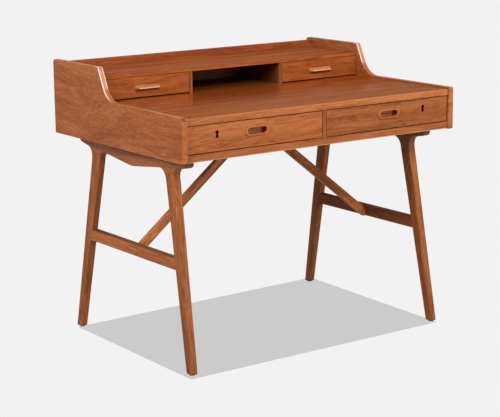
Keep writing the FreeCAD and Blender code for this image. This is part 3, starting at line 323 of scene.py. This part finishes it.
def top_wax_shade_and_sheen(finish):
    """front and the right, never put on inside the compartment. Painted shade darkens the top
    towards the back and the right, least at the left end and not inside the compartment; a painted
    sheen greys it towards the front and the right."""
    tree = finish.tree
    inside = mask(tree, COMPARTMENT)
    waxed_and_shaded = add(tree, "MapRange", place(tree, "Y"), *WAX_AND_SHADE_TO_THE_BACK,
                interpolation_type="SMOOTHSTEP")
    top_shade = add(tree, "MapRange", place(tree, "X"), *SHADE_TO_THE_RIGHT)
    top_shade = add(tree, "Math", top_shade, add(tree, "Math", waxed_and_shaded, inside, operation="SUBTRACT"),
                 operation="MULTIPLY")
    finish.colour = laid(tree, finish.colour, top_shade, TOP_SHADE_TINT, blend="MULTIPLY")
    top_sheen = add(tree, "MapRange", place(tree, "X"), *SHEEN_TO_THE_RIGHT)
    top_sheen = add(tree, "Math", top_sheen, add(tree, "Math", 1.0, waxed_and_shaded, operation="SUBTRACT"),
                 operation="MULTIPLY")
    finish.colour = laid(tree, finish.colour, top_sheen, TOP_SHEEN_TONE)
    glossy = add(tree, "MapRange", place(tree, "X"), *GLOSS_TO_THE_LEFT,
                 interpolation_type="SMOOTHSTEP")
    glossy = add(tree, "Math", glossy, waxed_and_shaded, operation="MULTIPLY")
    finish.wax = add(tree, "Math", glossy, add(tree, "Math", 1.0, inside, operation="SUBTRACT"),
                     operation="MULTIPLY")


def screw_ring_shade(finish):
    """Painted shade: a dark ring on a stretcher round its screw."""
    tree = finish.tree
    along = add(tree, "Math", place(tree, "Y"), SCREW_Y, operation="SUBTRACT")
    above = add(tree, "Math", place(tree, "Z"), SCREW_Z, operation="SUBTRACT")
    reach = add(tree, "Math", above, above, operation="MULTIPLY")
    reach = add(tree, "Math", along, along, reach, operation="MULTIPLY_ADD")
    reach = add(tree, "Math", reach, operation="SQRT")
    ring = band(tree, reach, 0.0, RING_REACH, fade_mm=1.0)
    finish.colour = laid(tree, finish.colour, ring, STRETCHER_DARK, 0.7)


# Metal and nylon

def metal(name, code, roughness, scratch_mm, marks=()):
    """Dull metal with fine rub marks, which vary the roughness only, and a little tarnish."""
    material, tree = new_material(name)
    space = grain_space(tree, ALONG_X)
    rubs = stretched_noise(tree, space, 12 * scratch_mm, scratch_mm, detail=2.0)
    rough = add(tree, "Math", rubs, 0.25, roughness, operation="MULTIPLY_ADD")
    tarnish = stretched_noise(tree, space, along_mm=9, across_mm=9, detail=2.0)
    colour = laid(tree, linear(code), tarnish, "#8A8078", 0.5, "MULTIPLY")
    finish = SimpleNamespace(tree=tree, colour=colour, rough=rough)
    for lay in marks:
        lay(finish)
    add(tree, "OutputMaterial", add(tree, "BsdfPrincipled", Base_Color=finish.colour,
                                    Metallic=1.0, Roughness=finish.rough))
    return material


def nylon(name, code):
    """Moulded nylon glide: black, matt, with a faint grain and scuffed patches."""
    material, tree = new_material(name)
    scuff = stretched_noise(tree, grain_space(tree, ALONG_X), along_mm=4, across_mm=4, detail=3.0)
    colour = laid(tree, linear(code), add(tree, "MapRange", scuff, 0.4, 0.8), "#2E2B2A")
    rough = add(tree, "Math", scuff, 0.2, 0.5, operation="MULTIPLY_ADD")
    add(tree, "OutputMaterial", add(tree, "BsdfPrincipled", Base_Color=colour, Roughness=rough,
                                    IOR=1.53))
    return material


# Finishes. shift_mm says where a piece was cut from its board.

GLUED_LEG = (glued_seam, black_foot_end)
FRONT_GAP_SHADE = {"left": gap_shade(0.8, 1.0, 0.0), "right": gap_shade(0.7, 0.0, 0.9)}
FRONT_CUT = {"left": (0, 0, 55), "right": (0, 0, 31)}
SMALL_CUT = {"left": (380, 0, 58), "right": (230, 0, 34)}
LEG_CUT = {"front_leg_left": (610, 89, 97), "back_leg_left": (610, 89, 97),
           "front_leg_right": (150, 17, 23), "back_leg_right": (0, 0, 0)}
LEG_THICKNESS, LEG_WIDTH = 25 * MM, 34 * MM

# Sliced teak veneer on the boards: wide calm bands, nearly matt except where it is waxed
top_veneer = teak("teak_veneer_top", ALONG_X, TOP, shift_mm=(610, 89, 97), streaks=0.3,
                  roughness=0.6, sheen_level=0.01,
                  marks=(compartment_top_shade, top_wax_shade_and_sheen, shade_by_small_drawers))
shelf_veneer = teak("teak_veneer_shelf", ALONG_X, SHELF, shift_mm=(640, 89, 157), streaks=0.3,
                    roughness=0.6, sheen_level=0.02)
panel_wood = teak("teak_veneer_and_lipping_ends", ALONG_Y, PANEL, shift_mm=(610, 89, 97),
                  wander_mm=26, streaks=0.3, shares=(0.34, 0.26, 0.18, 0.22),
                  marks=(solid_edges, corner_bruise))
bottom_veneer = teak("teak_veneer_underside", ALONG_X, PANEL, streaks=0.3)

# Solid teak, planed and oiled: straighter and livelier lines, with a low satin gloss
back_board = teak("solid_teak_back", ALONG_X, BACK, shift_mm=(50, 0, 0), streaks=0.3,
                  sheen_level=0.06, marks=(compartment_back_shade,))
lipping_wood = teak("solid_teak_top_lipping", ALONG_X, LIPPING, streaks=0.3, roughness=0.42)
low_lipping_wood = teak("solid_teak_low_lipping", ALONG_X, LOW_LIPPING, streaks=0.3,
                        marks=(arris_highlight,))
partition_wood = teak("solid_teak_partition", UPRIGHT, PARTITION, streaks=0.4)
divider_wood = teak("solid_teak_dividers", UPRIGHT, DIVIDERS, streaks=0.4,
                    marks=(compartment_divider_shade,))
rail_wood = teak("solid_teak_rails", ALONG_Y, LEGS_AND_RAILS, roughness=0.42,
                 marks=(glued_seam, shade_under_case))
stretcher_wood = {side: teak(f"solid_teak_stretcher_{side}", ALONG_Y, STRETCHERS[side],
                             marks=(screw_ring_shade, darker_stretcher_top)) for side in SIDES}
pull_wood = teak("solid_teak_pulls", ALONG_X, PULL, shift_mm=(0, 13, 7), streaks=0.2,
                 marks=(bead_highlight,))
handle_wood = teak("solid_teak_handles", ALONG_X, HANDLE, shift_mm=(0, 13, 7), streaks=0.2,
                   roughness=0.4, sheen_level=0.25, marks=(hollow_shade, nose_highlight))

# Pale woods inside the drawers and in the seams
oak_sides = pale_wood("waxed_oak_sides", ALONG_Y)
oak_backs = pale_wood("waxed_oak_backs", ALONG_X)
oak_ply = pale_wood("oak_plywood_bottoms", ALONG_X)
dowel_beech = pale_wood("beech_dowels", UPRIGHT)

# Turned screws shine most. Stamped lock cases are duller, rolled brass warm and soft.
screw_steel = metal("turned_steel_screws", "#C4C6CA", roughness=0.3, scratch_mm=0.3)
lock_steel = metal("stamped_steel_locks", "#7C7771", roughness=0.4, scratch_mm=0.5,
                   marks=(lock_case_hole_shade,))
lock_brass = metal("rolled_brass_strikes", "#B9975A", roughness=0.3, scratch_mm=0.4)
glide_nylon = nylon("moulded_nylon_glides", "#161414")


def paint(node, material):
    """Gives one CAD node its finish."""
    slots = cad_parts[node].data.materials
    slots.clear()
    slots.append(material)


def leg_direction(node):
    """The line that a leg runs along, from its box at rest less the leg's own thickness."""
    low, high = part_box(node)
    sign_x = 1 if "right" in node else -1
    sign_y = 1 if node.startswith("back") else -1
    lean_x = (high[0] - low[0] - LEG_THICKNESS) * sign_x
    lean_y = (high[1] - low[1] - LEG_WIDTH) * sign_y
    return (-lean_x, -lean_y, high[2] - low[2])


FINISHES = {
    "writing_top": top_veneer,
    "gallery_shelf": shelf_veneer,
    "case_bottom": bottom_veneer,
    "back_panel": back_board,
    "top_front_lipping": lipping_wood,
    "bottom_front_lipping": low_lipping_wood,
    "centre_partition": partition_wood,
    "drawer_stops": oak_backs,
    "lock_strikes": lock_brass,
    "rail_screws": screw_steel,
    "brace_screws": screw_steel,
    "leg_dowels": dowel_beech,
    "foot_glides": glide_nylon,
}
for node, material in FINISHES.items():
    paint(node, material)

for side, sign in SIDES.items():
    paint(f"side_panel_{side}", panel_wood)
    paint(f"gallery_divider_{side}", divider_wood)
    paint(f"top_rail_{side}", rail_wood)
    paint(f"stretcher_{side}", stretcher_wood[side])
    for leg, marks in ((f"front_leg_{side}", (*GLUED_LEG, darker_towards_foot)),
                       (f"back_leg_{side}", GLUED_LEG)):
        paint(leg, teak(f"solid_teak_{leg}", leg_direction(leg), LEGS_AND_RAILS,
                        shift_mm=LEG_CUT[leg], roughness=0.42, marks=marks))
    low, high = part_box(f"brace_{side}")
    brace_line = (-sign * (high[0] - low[0]), 0, high[2] - low[2])
    paint(f"brace_{side}", teak(f"solid_teak_brace_{side}", brace_line, BRACES, streaks=0.4,
                                roughness=0.42))
    paint(f"{side}_drawer_runners", oak_sides)
    paint(f"{side}_drawer_front", teak(f"teak_veneer_drawer_{side}", ALONG_X, FRONT_TONES[side],
                                       shift_mm=FRONT_CUT[side], streaks=0.7,
                                       marks=(*FRONT_GAP_SHADE[side], keyhole_wall_shade)))
    paint(f"{side}_small_drawer_front", teak(f"teak_veneer_small_drawer_{side}", ALONG_X,
                                             SMALL_FRONT, shift_mm=SMALL_CUT[side]))
    for stem in (f"{side}_drawer", f"{side}_small_drawer"):
        paint(f"{stem}_left_side", oak_sides)
        paint(f"{stem}_right_side", oak_sides)
        paint(f"{stem}_back", oak_backs)
        paint(f"{stem}_bottom", oak_ply)
    paint(f"{side}_drawer_pull", pull_wood)
    paint(f"{side}_small_drawer_handle", handle_wood)
    paint(f"{side}_drawer_lock_case", lock_steel)
    paint(f"{side}_drawer_lock_bolt", lock_brass)
    paint(f"{side}_drawer_lock_screws", screw_steel)


# Floor, world and lamps

BACKDROP = "#F2F2F2"
FLOOR_HALF = 60.0
AMBIENT = 0.19

# The open floor is full bright; under the desk it falls to the shadow's even grey
SHADOW_GREY = 0.673
DEEP_SHADE, OPEN_FLOOR = 0.95, 0.99

# The shadow's four edges: each line's inward X and Y, and how far inwards it starts
SHADOW_EDGES = ((1, -0.0123, -0.4682), (-1, 0.0414, -0.4655),
                (-0.0092, 1, -0.3421), (0.0376, -1, -0.3205))


def seen_directly(tree):
    """1 for rays that should find the pale studio: camera, mirror-like and see-through rays."""
    seen = 0.0
    for ray in ("Is Camera Ray", "Is Glossy Ray", "Is Transmission Ray"):
        seen = add(tree, "Math", seen, add(tree, "LightPath", out=ray), operation="MAXIMUM")
    return seen


def studio_floor():
    """Pale floor, as bright as the backdrop, that keeps the desk's soft shadow between its feet."""
    mesh = bpy.data.meshes.new("studio_floor")
    half = FLOOR_HALF
    mesh.from_pydata([(-half, -half, 0), (half, -half, 0), (half, half, 0), (-half, half, 0)], [],
                     [(0, 1, 2, 3)])
    floor = bpy.data.objects.new("studio_floor", mesh)
    bpy.context.collection.objects.link(floor)
    material, tree = new_material("pale_studio_floor")
    open_sky = add(tree, "AmbientOcclusion", samples=16, Distance=2.0, out="AO")
    shade = add(tree, "MapRange", open_sky, DEEP_SHADE, OPEN_FLOOR, SHADOW_GREY, 1.0,
                interpolation_type="SMOOTHSTEP")
    shaded = add(tree, "Emission", Color=linear(BACKDROP), Strength=shade)
    bright = add(tree, "Emission", Color=linear(BACKDROP), Strength=1.0)
    between = 1.0
    for inward_x, inward_y, start in SHADOW_EDGES:
        reach = add(tree, "Math", place(tree, "Y"), inward_y, operation="MULTIPLY")
        reach = add(tree, "Math", place(tree, "X"), inward_x, reach, operation="MULTIPLY_ADD")
        side = add(tree, "MapRange", reach, start - MM, start + MM)
        between = add(tree, "Math", between, side, operation="MULTIPLY")
    shown = add(tree, "MixShader", between, bright, shaded)
    bounce = add(tree, "BsdfDiffuse", Color=linear("#9A9794"))
    add(tree, "OutputMaterial", add(tree, "MixShader", seen_directly(tree), bounce, shown))
    mesh.materials.append(material)


def studio_world(ambient):
    """Faint white light from all round, with the pale backdrop behind the desk."""
    world = bpy.data.worlds.new("studio_world")
    world.use_nodes = True
    tree = world.node_tree
    tree.nodes.clear()
    backdrop = add(tree, "Background", Color=linear(BACKDROP), Strength=1.0)
    light = add(tree, "Background", Color=linear("#FFFFFF"), Strength=ambient)
    add(tree, "OutputWorld", add(tree, "MixShader", seen_directly(tree), light, backdrop))
    bpy.context.scene.world = world


def softbox(name, place_at, facing, size, watts):
    """A white rectangular lamp at one point, turned to face another."""
    lamp = bpy.data.lights.new(name, "AREA")
    lamp.shape = "RECTANGLE"
    lamp.size, lamp.size_y = size
    lamp.energy = watts
    holder = bpy.data.objects.new(name, lamp)
    bpy.context.collection.objects.link(holder)
    holder.location = place_at
    holder.rotation_euler = (Vector(facing) - Vector(place_at)).to_track_quat("-Z", "Y").to_euler()


studio_floor()
studio_world(AMBIENT)
softbox("left_softbox", (-3.70, -1.05, 2.28), (0, 0, 0.6), size=(1.6, 1.6), watts=122)
softbox("front_softbox", (0.25, -3.60, 3.30), (0, 0, 0.6), size=(1.4, 1.4), watts=112)
softbox("low_front_softbox", (0.60, -4.20, 1.05), (0, 0, 0.5), size=(1.4, 0.7), watts=42)
softbox("low_back_softbox", (0.50, 4.20, 1.30), (0, 0, 0.5), size=(1.2, 0.8), watts=45)
softbox("right_strip_softbox", (2.56, -2.70, 2.94), (0, 0, 0.6), size=(0.6, 2.4), watts=35)


# Camera: the photograph's place and field of view, fitted to the desk's corners

def camera_at(point, azimuth, down, roll, focal_px, width_px):
    """A camera turned and tilted by degrees, with its focal length in the image's pixels."""
    lens = bpy.data.cameras.new("photo_camera")
    lens.sensor_width = 36
    lens.lens = focal_px / width_px * lens.sensor_width
    lens.clip_start, lens.clip_end = 0.1, 200
    holder = bpy.data.objects.new("photo_camera", lens)
    bpy.context.collection.objects.link(holder)
    a, e, r = (math.radians(v) for v in (azimuth, down, roll))
    forward = Vector((-math.sin(a) * math.cos(e), math.cos(a) * math.cos(e), -math.sin(e)))
    level = forward.cross(Vector((0, 0, 1))).normalized()
    up = level.cross(forward)
    right = level * math.cos(r) + up * math.sin(r)
    upright = up * math.cos(r) - level * math.sin(r)
    turn = Matrix((right, upright, -forward)).transposed().to_4x4()
    holder.matrix_world = Matrix.Translation(Vector(point)) @ turn
    bpy.context.scene.camera = holder


camera_at((-2.7774, -3.8751, 1.3874), azimuth=-35.4508, down=12.0965, roll=-0.6226,
          focal_px=1584.09, width_px=500)
bpy.context.scene.view_settings.view_transform = "Standard"
